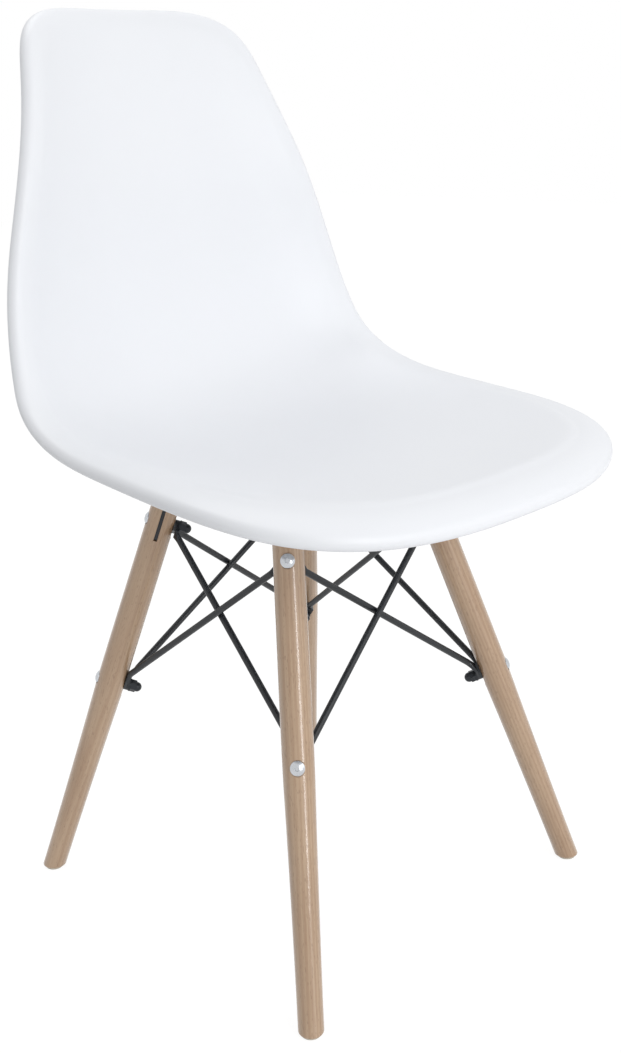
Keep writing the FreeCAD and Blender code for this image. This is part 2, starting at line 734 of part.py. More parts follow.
def build():
    os.makedirs("parts", exist_ok=True)

    save("seat_shell", seat_shell())
    for corner in CORNERS:
        save("leg_" + corner, leg(corner))

    save("crossbar_lower", crossbar("front_right", "rear_left", False))
    save("crossbar_upper", crossbar("front_left", "rear_right", True))

    for side, (first, second, outward) in SIDES.items():
        save("rod_" + side + "_outer", rod(first, second, 0, outward * OUTER_ROD_SHIFT))
        save("rod_" + side + "_inner", rod(second, first, 1, outward * -INNER_ROD_SHIFT))

    washer = ring(M6_HOLE_RADIUS, WASHER_RADIUS, WASHER_THICKNESS)
    for level, z in (("upper", UPPER_BOLT_Z), ("lower", LOWER_BOLT_Z)):
        outside, inside = seat_planes(z)
        stack = inside + 2 * TAB_THICKNESS
        nut_seat = stack + WASHER_THICKNESS
        bolt = dome_bolt(outside + nut_seat + CAP_HOLE_DEPTH - CAP_BOLT_GAP)
        bolts = []
        washers = []
        nuts = []
        for corner in CORNERS:
            out = lean(corner)[-1]
            centre = axis_point(corner, z)
            bolts.append(placed(bolt, centre + out * outside, out))
            washers.append(placed(washer, centre - out * stack, out * -1))
            nuts.append(placed(cap_nut(), centre - out * nut_seat, out * -1))
        save(level + "_leg_bolts", Part.makeCompound(bolts), solids=4)
        save(level + "_leg_washers", Part.makeCompound(washers), solids=4)
        save(level + "_leg_nuts", Part.makeCompound(nuts), solids=4)

    centre = Vector(0, BASE_Y, 0)
    down = UP * -1
    stack_top = centre + UP * (BAR_TOP_Z + BAR_THICKNESS)
    centre_bolt = dome_bolt(2 * BAR_THICKNESS + WASHER_THICKNESS + NUT_HEIGHT + BOLT_PROUD)
    save("centre_bolt", placed(centre_bolt, stack_top, UP))
    washer_top = centre + UP * BAR_BOTTOM_Z
    save("centre_washer", placed(washer, washer_top, down))
    save("centre_nut", placed(hex_nut(), washer_top - UP * WASHER_THICKNESS, down))

    pad = ring(M6_HOLE_RADIUS, PAD_RADIUS, PAD_THICKNESS)
    insert = ring(M6_RADIUS, INSERT_RADIUS, INSERT_LENGTH)
    screw = dome_bolt(WASHER_THICKNESS + BAR_THICKNESS + PAD_THICKNESS + INSERT_LENGTH - 1)
    pads = []
    inserts = []
    screws = []
    screw_washers = []
    for place in mount_points():
        bar_face = place + UP * BAR_BOTTOM_Z
        pads.append(placed(pad, place + UP * BAR_TOP_Z, UP))
        inserts.append(placed(insert, place + UP * BOSS_BOTTOM_Z, UP))
        screw_washers.append(placed(washer, bar_face, down))
        screws.append(placed(screw, bar_face - UP * WASHER_THICKNESS, down))
    save("rubber_pads", Part.makeCompound(pads), solids=4)
    save("threaded_inserts", Part.makeCompound(inserts), solids=4)
    save("seat_screws", Part.makeCompound(screws), solids=4)
    save("seat_screw_washers", Part.makeCompound(screw_washers), solids=4)

    glides = []
    nails = []
    for corner in CORNERS:
        base = axis_point(corner, GLIDE_HEIGHT) - UP * GLIDE_HEIGHT
        disc = Part.makeCylinder(GLIDE_RADIUS, GLIDE_HEIGHT, base, UP)
        sole_edges = [e for e in disc.Edges if e.BoundBox.ZMax < FLAT_ALLOWANCE]
        disc = disc.makeFillet(GLIDE_EDGE, sole_edges)
        head_base = base + UP * (GLIDE_HEIGHT - NAIL_HEAD_HEIGHT)
        nail = Part.makeCylinder(NAIL_HEAD_RADIUS, NAIL_HEAD_HEIGHT, head_base, UP)
        glides.append(disc.cut(nail))
        nails.append(nail.fuse(Part.makeCylinder(NAIL_RADIUS, NAIL_LENGTH, head_base, UP)))
    save("foot_glides", Part.makeCompound(glides), solids=4)
    save("glide_nails", Part.makeCompound(nails), solids=4)


build()
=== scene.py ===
import math

import bmesh
import bpy
import numpy as np
from bpy.props import FloatProperty, FloatVectorProperty, IntProperty, PointerProperty
from mathutils import Matrix, Vector


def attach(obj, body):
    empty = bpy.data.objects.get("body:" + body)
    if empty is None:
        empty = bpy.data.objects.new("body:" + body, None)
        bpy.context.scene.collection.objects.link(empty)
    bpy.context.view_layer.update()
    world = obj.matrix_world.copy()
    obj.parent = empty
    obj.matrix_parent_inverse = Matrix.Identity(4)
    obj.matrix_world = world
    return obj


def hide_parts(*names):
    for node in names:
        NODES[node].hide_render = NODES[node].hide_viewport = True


bl_info = {
    "name": "Moulded Shell Chair",
    "version": (1, 0, 0),
    "blender": (4, 5, 0),
    "location": "3D View > Sidebar > Shell Chair",
    "description": "Moulds the plastic shell and finishes the beech and steel base of a side chair",
    "category": "Add Mesh",
}

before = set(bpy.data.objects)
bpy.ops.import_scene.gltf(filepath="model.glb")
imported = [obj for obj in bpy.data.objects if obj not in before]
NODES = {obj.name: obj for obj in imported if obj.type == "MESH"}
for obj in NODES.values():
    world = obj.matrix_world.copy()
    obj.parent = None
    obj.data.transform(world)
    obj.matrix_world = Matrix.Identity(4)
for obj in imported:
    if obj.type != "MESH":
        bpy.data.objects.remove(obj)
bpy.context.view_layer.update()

# The frame is in metres. The chair's own sizes are written in millimetres.
MM = 0.001


# Colours and nodes

def linear(code):
    """Linear colour of an sRGB hex value."""
    channels = [int(code[i:i + 2], 16) / 255 for i in (1, 3, 5)]
    return [c / 12.92 if c <= 0.04045 else ((c + 0.055) / 1.055) ** 2.4 for c in channels]


def put(tree, kind, inputs=None, **settings):
    """Add a node, set its fields, and fill or link its inputs."""
    made = tree.nodes.new(kind)
    for field, value in settings.items():
        setattr(made, field, value)
    for socket, value in (inputs or {}).items():
        if isinstance(value, bpy.types.NodeSocket):
            tree.links.new(value, made.inputs[socket])
        else:
            made.inputs[socket].default_value = value
    return made


def new_finish(name):
    """Empty node material with its output."""
    finish = bpy.data.materials.new(name)
    finish.use_nodes = True
    finish.node_tree.nodes.clear()
    return finish, finish.node_tree


def opaque(colour):
    return (*colour, 1.0)


# Settings

class SeatShellSettings(bpy.types.PropertyGroup):
    wall: FloatProperty(
        name="Wall", description="Thickness of the moulded wall",
        default=4.5 * MM, min=2 * MM, max=8 * MM, unit="LENGTH")
    lip_radius: FloatProperty(
        name="Lip radius", description="Radius of the wall's middle line where the rim rolls over",
        default=6.0 * MM, min=3 * MM, max=12 * MM, unit="LENGTH")
    crease_depth: FloatProperty(
        name="Crease depth", description="How far the seat steps down where the front roll begins",
        default=2.2 * MM, min=0.0, max=4 * MM, unit="LENGTH")
    across_steps: IntProperty(
        name="Steps across", description="Mesh steps across the front and the top",
        default=64, min=12, max=160)
    along_steps: IntProperty(
        name="Steps along", description="Mesh steps along each side",
        default=128, min=24, max=320)
    colour: FloatVectorProperty(
        name="Plastic", description="Colour of the moulded plastic",
        default=linear("#ECEEF2"), size=3, min=0, max=1, subtype="COLOR")
    roughness: FloatProperty(
        name="Roughness", description="Roughness of the satin moulded face",
        default=0.42, min=0, max=1, subtype="FACTOR")


class BaseSettings(bpy.types.PropertyGroup):
    early_wood: FloatVectorProperty(
        name="Early wood", description="Lighter tone of the beech",
        default=linear("#BDA184"), size=3, min=0, max=1, subtype="COLOR")
    late_wood: FloatVectorProperty(
        name="Late wood", description="Darker tone of the beech's growth rings",
        default=linear("#9E7D5F"), size=3, min=0, max=1, subtype="COLOR")
    fleck: FloatVectorProperty(
        name="Fleck", description="Colour of the short flecks in the beech",
        default=linear("#82634A"), size=3, min=0, max=1, subtype="COLOR")
    ring_gap: FloatProperty(
        name="Ring gap", description="Distance between growth rings",
        default=3.2 * MM, min=1 * MM, max=10 * MM, unit="LENGTH")
    powder_coat: FloatVectorProperty(
        name="Powder coat", description="Colour of the coated rods and bars",
        default=linear("#1B1F24"), size=3, min=0, max=1, subtype="COLOR")
    black_zinc: FloatVectorProperty(
        name="Black zinc", description="Colour of the black plated nuts and washers",
        default=linear("#2E3135"), size=3, min=0, max=1, subtype="COLOR")
    bright_zinc: FloatVectorProperty(
        name="Bright zinc", description="Colour of the bright plated bolts and screws",
        default=linear("#C7CACE"), size=3, min=0, max=1, subtype="COLOR")
    rubber: FloatVectorProperty(
        name="Rubber", description="Colour of the pads under the shell",
        default=linear("#222324"), size=3, min=0, max=1, subtype="COLOR")
    nylon: FloatVectorProperty(
        name="Nylon", description="Colour of the glides",
        default=linear("#CFC8B8"), size=3, min=0, max=1, subtype="COLOR")
    brass: FloatVectorProperty(
        name="Brass", description="Colour of the threaded inserts",
        default=linear("#C8A862"), size=3, min=0, max=1, subtype="COLOR")


class StageSettings(bpy.types.PropertyGroup):
    floor_size: FloatProperty(
        name="Floor", description="Length of each side of the floor",
        default=14.0, min=2, max=60, unit="LENGTH")
    tall_lamp: FloatProperty(
        name="Tall lamp",
        description="Power of the tall narrow lamp that draws the streak down the front leg",
        default=33.0, min=0, max=1000, unit="POWER")
    top_lamp: FloatProperty(
        name="Top lamp", description="Power of the large lamp overhead",
        default=16.0, min=0, max=1000, unit="POWER")
    front_lamp: FloatProperty(
        name="Front lamp", description="Power of the large lamp before the chair's left side",
        default=12.5, min=0, max=1000, unit="POWER")
    sky: FloatProperty(
        name="Sky", description="Strength of the even light from all round",
        default=0.53, min=0, max=4)


# Shape of the shell

# Guide values of the moulding, in millimetres: the middle line from the front edge to the top
# of the back, the half width, the rise of the flanks, and how square the dish is
SPINE_Y = (-249, -193, -99, -3, 93, 173, 201, 200, 214, 240)
SPINE_Z = (439, 436, 428, 420, 421, 461, 570, 660, 737, 826)
HALF_WIDTH = (196, 219, 222, 219, 206, 186, 144, 117)
FLANK_RISE = (4, 24, 39, 55, 50, 40, 26)
FLANK_POWER = (2.50, 2.54, 2.65, 2.38)
# Share of the length taken by the rounded front and top, and how square their corners are
FRONT_END = (0.25, 2.70)
TOP_END = (0.095, 3.80)
# Depth and width of the edge roll at the front, along the seat and round the back
ROLLS = ((13.2, 38.0), (7.5, 23.0), (4.0, 16.0))
# Middle panel inside the edge band, in shares of the length and of the half width
PANEL = (0.17, 0.86)
PANEL_SHARE = 0.60
# Steps from the panel to the rim, closer where the roll starts and where it turns
BAND_STEPS = np.array([
    0, 0.12, 0.24, 0.35, 0.45, 0.53, 0.59, 0.64, 0.68, 0.71, 0.74,
    0.77, 0.80, 0.83, 0.86, 0.89, 0.92, 0.95, 0.975, 1.0,
])
LIP_TURN = np.radians([12, 24, 36, 48, 60, 72, 84, 95])
CREASE_WIDTH = 9.0
# Shares of the length over which the edge roll changes from front to side, and from side to back
FRONT_TO_SIDE = (0.10, 0.35)
SIDE_TO_BACK = (0.40, 0.65)
# Steps round half of the wall's rounded end
TIP_STEPS = 6
# Shares of the length on either side of a place, to find the wall's slope and its normal
SLOPE_STEP = 0.001
NORMAL_STEP = 0.002
# Points of the moulding closer than this, in millimetres, become one
WELD_GAP = 0.15
# Faces that meet at more than this angle, in degrees, keep a sharp edge
SHARP_TURN = 50

# The base: offsets of a leg's axis from the base's middle, on the floor and at its top, and height
BASE_Y = 14.4
LEG_FOOT = (178.3, 182.5, 0.0)
LEG_TOP = (86.4, 78.7, 386.0)
CORNERS = {
    "front_right": (-1, -1),
    "front_left": (1, -1),
    "rear_right": (-1, 1),
    "rear_left": (1, 1),
}
# Shares of the length that span the seat's floor, and places looked at along it
SEAT_FLOOR = (0.05, 0.60, 120)
# Bosses under the seat, over the screws in the cross bars
MOUNT_RADIUS = 88.0
BOSS_FACE_Z = 397.5
# Radius and height over the boss's face: socket for the insert, rounded rim, drafted side
BOSS_FREE = ((0, 12), (4.6, 12), (4.6, 0.6), (5.2, 0), (14.1, 0), (14.7, 0.25), (15.0, 0.9))
# Radius and gap below the wall: the side flares into the wall, and ends inside it
BOSS_JOINED = ((15.3, 4.6), (15.6, 2.6), (16.4, 1.1), (17.6, 0.3), (19.0, -0.6))
RIB_REACH = 27.0
RIB_START = 8.0
# Half thickness of a rib against the height over its foot, drafted for the mould
RIB_SECTION = ((0.6, 0.0), (1.1, 0.3), (1.25, 1.0))
RIB_ROOT = 1.45
# How far a rib's root runs into the wall, and how much thinner its two ends are
RIB_SINK = 0.8
RIB_END_SCALE = 0.98
# Sections along a rib and round a boss
RIB_CUTS = 19
BOSS_CUTS = 48
# Turn of the grain from one leg to the next, in radians, so that no two legs look alike
GRAIN_TURN = 1.3

# The stage, in metres: width and height of each lamp, and where it hangs
TALL_LAMP = ((0.5, 2.2), (-0.5, -2.8, 1.25))
TOP_LAMP = ((1.6, 1.6), (0.1, 0.9, 2.7))
FRONT_LAMP = ((2.2, 2.2), (1.3, -2.3, 1.7))
LAMP_AIM = (0.0, 0.0, 0.45)
FLOOR_STEPS = 5
FLOOR_GLOW = 0.90
# The camera that the chair was seen with: its place in metres, the ways it faces, and its focal
# length and centre in pixels of the frame
CAMERA_PLACE = (-0.8261, -0.8549, 0.7346)
CAMERA_RIGHT = (0.71158, -0.70181, -0.03354)
CAMERA_AHEAD = (0.67978, 0.69974, -0.21969)
FRAME_PIXELS = (621, 1053)
FOCAL_PIXELS = 1339.27
CENTRE_PIXELS = (306.92, 403.9)
SENSOR_WIDTH = 36.0


def spline(values, x):
    """Smooth curve through a run of values, with x from 0 to 1."""
    first, second, *_ = values
    run = np.array([2 * first - second, *values, 2 * values[-1] - values[-2]], float)
    spans = len(values) - 1
    place = np.clip(x, 0, 1) * spans
    i = np.minimum(place.astype(int), spans - 1)
    f = place - i
    total = (1 - f) ** 3 * run[i] + (3 * f ** 3 - 6 * f ** 2 + 4) * run[i + 1]
    total += (-3 * f ** 3 + 3 * f ** 2 + 3 * f + 1) * run[i + 2] + f ** 3 * run[i + 3]
    return total / 6


def unit(vectors):
    return vectors / np.linalg.norm(vectors, axis=-1, keepdims=True)


def ease(value, start, end):
    f = np.clip((value - start) / (end - start), 0, 1)
    return f * f * (3 - 2 * f)


def wall_middle(x, t):
    """Middle surface of the wall at share x of the length, t mm off the centre plane."""
    before, after = np.maximum(x - SLOPE_STEP, 0), np.minimum(x + SLOPE_STEP, 1)
    dy = spline(SPINE_Y, after) - spline(SPINE_Y, before)
    dz = spline(SPINE_Z, after) - spline(SPINE_Z, before)
    rise = spline(FLANK_RISE, x) * np.abs(t / spline(HALF_WIDTH, x)) ** spline(FLANK_POWER, x)
    rise = rise / np.hypot(dy, dz)
    return np.stack([t, spline(SPINE_Y, x) - rise * dz, spline(SPINE_Z, x) + rise * dy], -1)


def wall_normal(x, t):
    """Unit normal of the middle surface on the sitter's side."""
    before, after = np.maximum(x - NORMAL_STEP, 0), np.minimum(x + NORMAL_STEP, 1)
    along = wall_middle(after, t) - wall_middle(before, t)
    across = wall_middle(x, t + 1) - wall_middle(x, t - 1)
    return unit(np.cross(across, along))


def end_rim(g, end, at_top):
    """Rim across the front or the top, with g from -1 to 1 between the corners."""
    corner, power = end
    reach = np.abs(g) * 0.5 ** (1 / power)
    away = corner * (1 - (1 - reach ** power) ** (1 / power))
    x = 1 - away if at_top else away
    return x, np.sign(g) * spline(HALF_WIDTH, x) * reach


def side_rim(g):
    """Rim along one side, with g from -1 at the front corner to 1 at the top one."""
    (front, front_power), (top, top_power) = FRONT_END, TOP_END
    start = front * (1 - 0.5 ** (1 / front_power))
    end = 1 - top * (1 - 0.5 ** (1 / top_power))
    x = start + (end - start) * (g + 1) / 2
    t = spline(HALF_WIDTH, x)
    for away, corner, power in ((x, front, front_power), (1 - x, top, top_power)):
        lack = np.clip((corner - away) / corner, 0, 1)
        t = t * (1 - lack ** power) ** (1 / power)
    return x, t


def edge_columns(across_steps, along_steps):
    """Panel and rim places (x, t) of each cut through the edge, once round the shell."""
    across = np.linspace(-1, 1, across_steps + 1)
    along = np.linspace(-1, 1, along_steps + 1)[1:-1]
    first, last = PANEL
    panel_x = first + (last - first) * (along + 1) / 2
    panel_t = PANEL_SHARE * spline(HALF_WIDTH, panel_x)
    level = np.ones_like(across)
    front_t = across * PANEL_SHARE * spline(HALF_WIDTH, first * level)
    top_t = across * PANEL_SHARE * spline(HALF_WIDTH, last * level)
    side_x, side_t = side_rim(along)
    front_rim = end_rim(across, FRONT_END, False)
    top_rim = end_rim(across, TOP_END, True)
    panel = (
        np.concatenate([first * level, panel_x, last * level, panel_x[::-1]]),
        np.concatenate([front_t, panel_t, top_t[::-1], -panel_t[::-1]]),
    )
    rim = (
        np.concatenate([front_rim[0], side_x, top_rim[0][::-1], side_x[::-1]]),
        np.concatenate([front_rim[1], side_t, top_rim[1][::-1], -side_t[::-1]]),
    )
    return panel, rim


def edge_rows(settings):
    """Points of the edge band: one closed column of wall points for each cut round the shell."""
    half = settings.wall / MM / 2
    lip = settings.lip_radius / MM
    panel, rim = edge_columns(settings.across_steps, settings.along_steps)
    h = BAND_STEPS[None, :]
    x = panel[0][:, None] + (rim[0] - panel[0])[:, None] * h
    t = panel[1][:, None] + (rim[1] - panel[1])[:, None] * h
    middle = wall_middle(x, t)
    normal = wall_normal(x, t)

    to_side = ease(rim[0], *FRONT_TO_SIDE)
    to_back = ease(rim[0], *SIDE_TO_BACK)
    front, side, back = (np.array(r) for r in ROLLS)
    sizes = front + (side - front) * to_side[:, None] + (back - side) * to_back[:, None]
    depth, width = sizes[:, :1], sizes[:, 1:]
    span = np.linalg.norm(middle[:, -1] - middle[:, 0], axis=-1)[:, None]
    to_rim = (1 - h) * span
    drop = depth * np.clip(1 - to_rim / width, 0, None) ** 2
    crease = settings.crease_depth / MM * (1 - to_side[:, None])
    drop = drop + crease * (1 - ease(to_rim, width - CREASE_WIDTH, width))
    middle = middle - normal * drop[..., None]

    around = np.roll(middle, -1, 0) - np.roll(middle, 1, 0)
    outward = np.gradient(middle, axis=1)
    face = unit(np.cross(outward, around))
    face *= np.sign((face * normal).sum(-1, keepdims=True))
    face = np.where(drop[..., None] > 0, face, normal)

    top_side = middle + face * half
    low_side = middle - face * half
    end_face = face[:, -1]
    along = unit(around[:, -1])
    out = middle[:, -1] - middle[:, -2]
    out = unit(out - along * (out * along).sum(-1, keepdims=True))
    end_face = unit(end_face - out * (end_face * out).sum(-1, keepdims=True))
    centre = middle[:, -1] - end_face * lip

    def lip_row(angles, radii):
        spokes = np.sin(angles)[:, None] * out[:, None] + np.cos(angles)[:, None] * end_face[:, None]
        return centre[:, None] + spokes * np.broadcast_to(radii, angles.shape)[:, None]

    outside = lip_row(LIP_TURN, lip + half)
    inside = lip_row(LIP_TURN[::-1], lip - half)
    turn = LIP_TURN[-1]
    tip_centre = lip_row(np.array([turn]), lip)[:, 0]
    tip_out = math.sin(turn) * out + math.cos(turn) * end_face
    tip_down = math.cos(turn) * out - math.sin(turn) * end_face
    tip = []
    for k in range(1, TIP_STEPS):
        angle = math.pi * k / TIP_STEPS
        tip.append(tip_centre + (tip_out * math.cos(angle) + tip_down * math.sin(angle)) * half)
    return np.concatenate(
        [top_side, outside, np.stack(tip, 1), inside, low_side[:, ::-1]], axis=1)


def panel_rows(settings, offset):
    """Grid of points of the middle panel, offset from the wall's middle."""
    first, last = PANEL
    x = np.linspace(first, last, settings.along_steps + 1)[:, None]
    g = np.linspace(-1, 1, settings.across_steps + 1)[None, :]
    x = x + 0 * g
    t = g * PANEL_SHARE * spline(HALF_WIDTH, x)
    return wall_middle(x, t) + wall_normal(x, t) * offset


def underside_height(settings, x, y):
    """Height of the wall's underside over places on the seat's floor."""
    share = np.linspace(*SEAT_FLOOR)
    heights = []
    for px, py in zip(np.ravel(x), np.ravel(y)):
        line = wall_middle(share, np.full_like(share, px))
        heights.append(np.interp(py, line[:, 1], line[:, 2]))
    return np.reshape(heights, np.shape(x)) - settings.wall / MM / 2


def boss_rows(settings, x, y):
    """Grid of one boss: a turned profile whose upper rings follow the wall."""
    turn = np.linspace(0, 2 * math.pi, BOSS_CUTS, endpoint=False)[:, None]
    free = np.array(BOSS_FREE, float)
    joined = np.array(BOSS_JOINED, float)
    radius = np.concatenate([free[:, 0], joined[:, 0]])[None, :]
    px, py = x + radius * np.cos(turn), y + radius * np.sin(turn)
    pz = np.empty_like(px)
    count = len(free)
    pz[:, :count] = BOSS_FACE_Z + free[:, 1]
    pz[:, count:] = underside_height(settings, px[:, count:], py[:, count:]) - joined[:, 1]
    return np.stack([px, py, pz], -1)


def rib_rows(settings, x, y, along_x):
    """Grid of one rib through a boss: sections round its foot, open where it enters the wall."""
    reach = np.linspace(-RIB_REACH, RIB_REACH, RIB_CUTS)
    section = [(-half, rise) for half, rise in RIB_SECTION[::-1]]
    section += [(half, rise) for half, rise in RIB_SECTION]
    rows = []
    for step in reach:
        # The ends are a little thinner, so that the rib leaves the mould
        scale = RIB_END_SCALE if abs(step) == RIB_REACH else 1.0
        px, py = (x + step, y) if along_x else (x, y + step)
        top = float(underside_height(settings, np.array(px), np.array(py))) + RIB_SINK
        column = [(-RIB_ROOT, top)]
        column += [(side, BOSS_FACE_Z + RIB_START + rise) for side, rise in section]
        column += [(RIB_ROOT, top)]
        for side, height in column:
            place = (px, y + side * scale) if along_x else (x + side * scale, py)
            rows.append((*place, height))
    return np.array(rows).reshape(len(reach), -1, 3)


def grid_faces(rows, columns, start=0, closed=False):
    """Quads between the points of a grid, whose rows may join up."""
    faces = []
    for i in range(rows if closed else rows - 1):
        for j in range(columns - 1):
            a = start + i * columns + j
            b = start + ((i + 1) % rows) * columns + j
            faces.append((a, a + 1, b + 1, b))
    return faces


def build_piece(name, points, faces, merge=0.0):
    """New object in metres from points in millimetres, with even normals and smooth faces."""
    mesh = bpy.data.meshes.new(name)
    mesh.from_pydata((np.asarray(points) * MM).tolist(), [], faces)
    work = bmesh.new()
    work.from_mesh(mesh)
    if merge:
        bmesh.ops.remove_doubles(work, verts=work.verts, dist=merge * MM)
    bmesh.ops.recalc_face_normals(work, faces=work.faces)
    for face in work.faces:
        face.smooth = True
    work.to_mesh(mesh)
    work.free()
    mesh.set_sharp_from_angle(angle=math.radians(SHARP_TURN))
    piece = bpy.data.objects.new(name, mesh)
    bpy.context.scene.collection.objects.link(piece)
    return piece


def dress(piece, finish):
    """Give a modelled piece its finish and its body."""
    piece.data.materials.append(finish)
    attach(piece, "root")


def coat(names, finish):
    """Give nodes of the frame their finish."""
    for name in names:
        for place in NODES[name].material_slots:
            place.material = finish


# Finishes

def moulded_polypropylene(settings):
    # Polypropylene, injection moulded against an eroded steel face: satin, dense, slightly cool
    # white, with a broad soft sheen and no sharp reflections
    finish, tree = new_finish("Moulded polypropylene, satin")
    place = put(tree, "ShaderNodeTexCoord").outputs["Object"]
    # Erosion grain is about 0.1 mm; drawn at 0.6 mm, because finer grain doesn't show
    grain = put(tree, "ShaderNodeTexNoise", {
        "Vector": place, "Scale": 1 / (0.6 * MM), "Detail": 3.0, "Roughness": 0.6})
    # Sink and flow in the mould leave very shallow waves, some 70 mm apart
    flow = put(tree, "ShaderNodeTexNoise", {
        "Vector": place, "Scale": 1 / (70 * MM), "Detail": 2.0, "Roughness": 0.5})
    tone = put(tree, "ShaderNodeMix", {
        "Factor": flow.outputs["Fac"],
        "A": opaque([c * 0.985 for c in settings.colour]),
        "B": opaque(settings.colour),
    }, data_type="RGBA")
    # Rubbed patches are a little glossier
    gloss = put(tree, "ShaderNodeMapRange", {
        "Value": flow.outputs["Fac"], "From Min": 0.3, "From Max": 0.7,
        "To Min": settings.roughness - 0.04, "To Max": settings.roughness + 0.04})
    bump = put(tree, "ShaderNodeBump", {
        "Height": grain.outputs["Fac"], "Strength": 0.10, "Distance": 0.05 * MM})
    waves = put(tree, "ShaderNodeBump", {
        "Height": flow.outputs["Fac"], "Strength": 0.25, "Distance": 0.35 * MM,
        "Normal": bump.outputs["Normal"]})
    skin = put(tree, "ShaderNodeBsdfPrincipled", {
        "Base Color": tone.outputs["Result"], "Roughness": gloss.outputs["Result"],
        "Normal": waves.outputs["Normal"], "IOR": 1.49})
    put(tree, "ShaderNodeOutputMaterial", {"Surface": skin.outputs["BSDF"]})
    return finish


def lacquered_beech(settings, name, foot, top, turn):
    # Beech, turned and clear lacquered: even pinkish tan, faint growth rings, many short dark
    # flecks along the grain, and a satin film that shows a soft highlight down the leg
    finish, tree = new_finish("Lacquered beech, " + name)
    axis = (top - foot).normalized()
    lean = axis.to_track_quat("Z", "Y").to_matrix() @ Matrix.Rotation(turn, 3, "Z")
    # Coordinates in millimetres along and across the leg
    local = put(tree, "ShaderNodeMapping", {
        "Vector": put(tree, "ShaderNodeTexCoord").outputs["Object"],
        "Location": foot, "Rotation": lean.to_euler(), "Scale": (MM, MM, MM),
    }, vector_type="TEXTURE").outputs["Vector"]
    # The blank is sawn beside the heart, so the rings pass through as long gentle arcs
    from_heart = put(tree, "ShaderNodeMapping", {
        "Vector": local, "Location": (46.0, 12.0, 0.0), "Scale": (1.0, 1.0, 0.03)})
    # A ring texture of scale 1 repeats at this distance
    wave_period = 2 * math.pi / 20
    rings = put(tree, "ShaderNodeTexWave", {
        "Vector": from_heart.outputs["Vector"], "Scale": wave_period / (settings.ring_gap / MM),
        "Distortion": 2.2, "Detail": 2.0, "Detail Scale": 0.5,
    }, wave_type="RINGS", rings_direction="Z", wave_profile="SIN")
    # Fibres about 0.5 mm wide and 20 mm long
    fibre_place = put(tree, "ShaderNodeMapping", {"Vector": local, "Scale": (1.0, 1.0, 0.025)})
    fibres = put(tree, "ShaderNodeTexNoise", {
        "Vector": fibre_place.outputs["Vector"], "Scale": 1 / 0.9, "Detail": 4.0,
        "Roughness": 0.65})
    # Rays show as flecks 1 mm wide and 5 mm long
    fleck_place = put(tree, "ShaderNodeMapping", {"Vector": local, "Scale": (1.0, 1.0, 0.22)})
    flecks = put(tree, "ShaderNodeTexNoise", {
        "Vector": fleck_place.outputs["Vector"], "Scale": 1 / 1.1, "Detail": 1.0})
    fleck_mask = put(tree, "ShaderNodeMapRange", {
        "Value": flecks.outputs["Fac"], "From Min": 0.60, "From Max": 0.72,
        "To Min": 0.0, "To Max": 0.40})
    # Broad change of tone along the leg
    cloud_place = put(tree, "ShaderNodeMapping", {"Vector": local, "Scale": (1.0, 1.0, 0.25)})
    cloud = put(tree, "ShaderNodeTexNoise", {
        "Vector": cloud_place.outputs["Vector"], "Scale": 1 / 26, "Detail": 2.0})
    band = put(tree, "ShaderNodeMath", {
        0: rings.outputs["Fac"], 1: 0.30}, operation="MULTIPLY")
    band = put(tree, "ShaderNodeMath", {
        0: fibres.outputs["Fac"], 1: band.outputs[0]}, operation="ADD")
    band = put(tree, "ShaderNodeMath", {
        0: cloud.outputs["Fac"], 1: band.outputs[0]}, operation="ADD")
    shade = put(tree, "ShaderNodeMapRange", {
        "Value": band.outputs[0], "From Min": 0.70, "From Max": 1.60})
    tone = put(tree, "ShaderNodeMix", {
        "Factor": shade.outputs["Result"],
        "A": opaque(settings.early_wood), "B": opaque(settings.late_wood),
    }, data_type="RGBA")
    tone = put(tree, "ShaderNodeMix", {
        "Factor": fleck_mask.outputs["Result"], "A": tone.outputs["Result"],
        "B": opaque(settings.fleck)}, data_type="RGBA")
    relief = put(tree, "ShaderNodeMath", {
        0: fibres.outputs["Fac"], 1: fleck_mask.outputs["Result"]}, operation="SUBTRACT")
    bump = put(tree, "ShaderNodeBump", {
        "Height": relief.outputs[0], "Strength": 0.25, "Distance": 0.08 * MM})
    wood = put(tree, "ShaderNodeBsdfPrincipled", {
        "Base Color": tone.outputs["Result"], "Roughness": 0.45, "Normal": bump.outputs["Normal"],
        "IOR": 1.5, "Coat Weight": 1.0, "Coat Roughness": 0.16})
    put(tree, "ShaderNodeOutputMaterial", {"Surface": wood.outputs["BSDF"]})
    return finish


